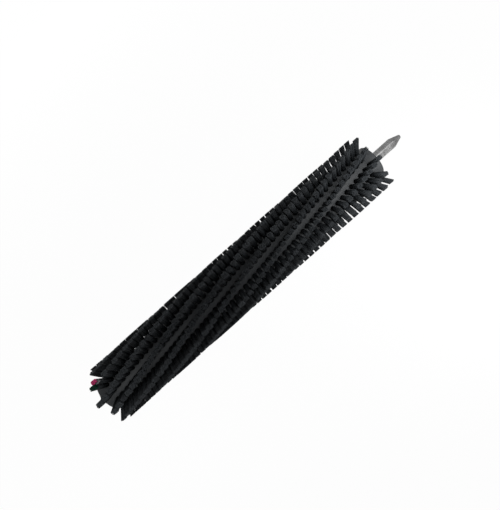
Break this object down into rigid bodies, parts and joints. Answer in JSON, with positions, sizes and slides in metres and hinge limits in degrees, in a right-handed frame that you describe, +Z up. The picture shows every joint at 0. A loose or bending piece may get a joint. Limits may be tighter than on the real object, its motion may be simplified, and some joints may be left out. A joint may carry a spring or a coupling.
{
  "type": "robot vacuum roller brush",
  "caption": "Roller brush for a robot vacuum: plastic core on a square steel drive shaft, helical rows of nylon tufts, and a bearing bush at the idle end.",
  "frame": {"origin": "on the spin axis where it leaves the core's idle end, inside the bearing bush", "axes": "+X along the spin axis from the idle end to the drive end, +Z up"},
  "size_m": [0.1946, 0.0306, 0.0306],
  "materials": {
    "core_plastic": "satin",
    "black_nylon": "satin",
    "green_nylon": "satin",
    "red_nylon": "satin",
    "shaft_steel": "dull",
    "ring_steel": "satin",
    "bush_plastic": "satin",
    "washer_plastic": "satin"
  },
  "bodies": {
    "bearing": {"bearing_bush": "bush_plastic"},
    "roller": {"core": "core_plastic", "shaft": "shaft_steel", "thrust_washer": "washer_plastic", "retaining_ring": "ring_steel", "green_marked_tuft": "green_nylon", "red_marked_tuft": "red_nylon", "bristle_row_01": "black_nylon", "bristle_row_02": "black_nylon", "bristle_row_03": "black_nylon", "bristle_row_04": "black_nylon", "bristle_row_05": "black_nylon", "bristle_row_06": "black_nylon", "bristle_row_07": "black_nylon", "bristle_row_08": "black_nylon", "bristle_row_09": "black_nylon", "bristle_row_10": "black_nylon", "bristle_row_11": "black_nylon", "bristle_row_12": "black_nylon"}
  },
  "joints": [
    {"name": "roller_spin", "type": "hinge", "parent": "bearing", "child": "roller", "pos_m": [0, 0, 0], "axis": [1, 0, 0], "continuous": true}
  ]
}
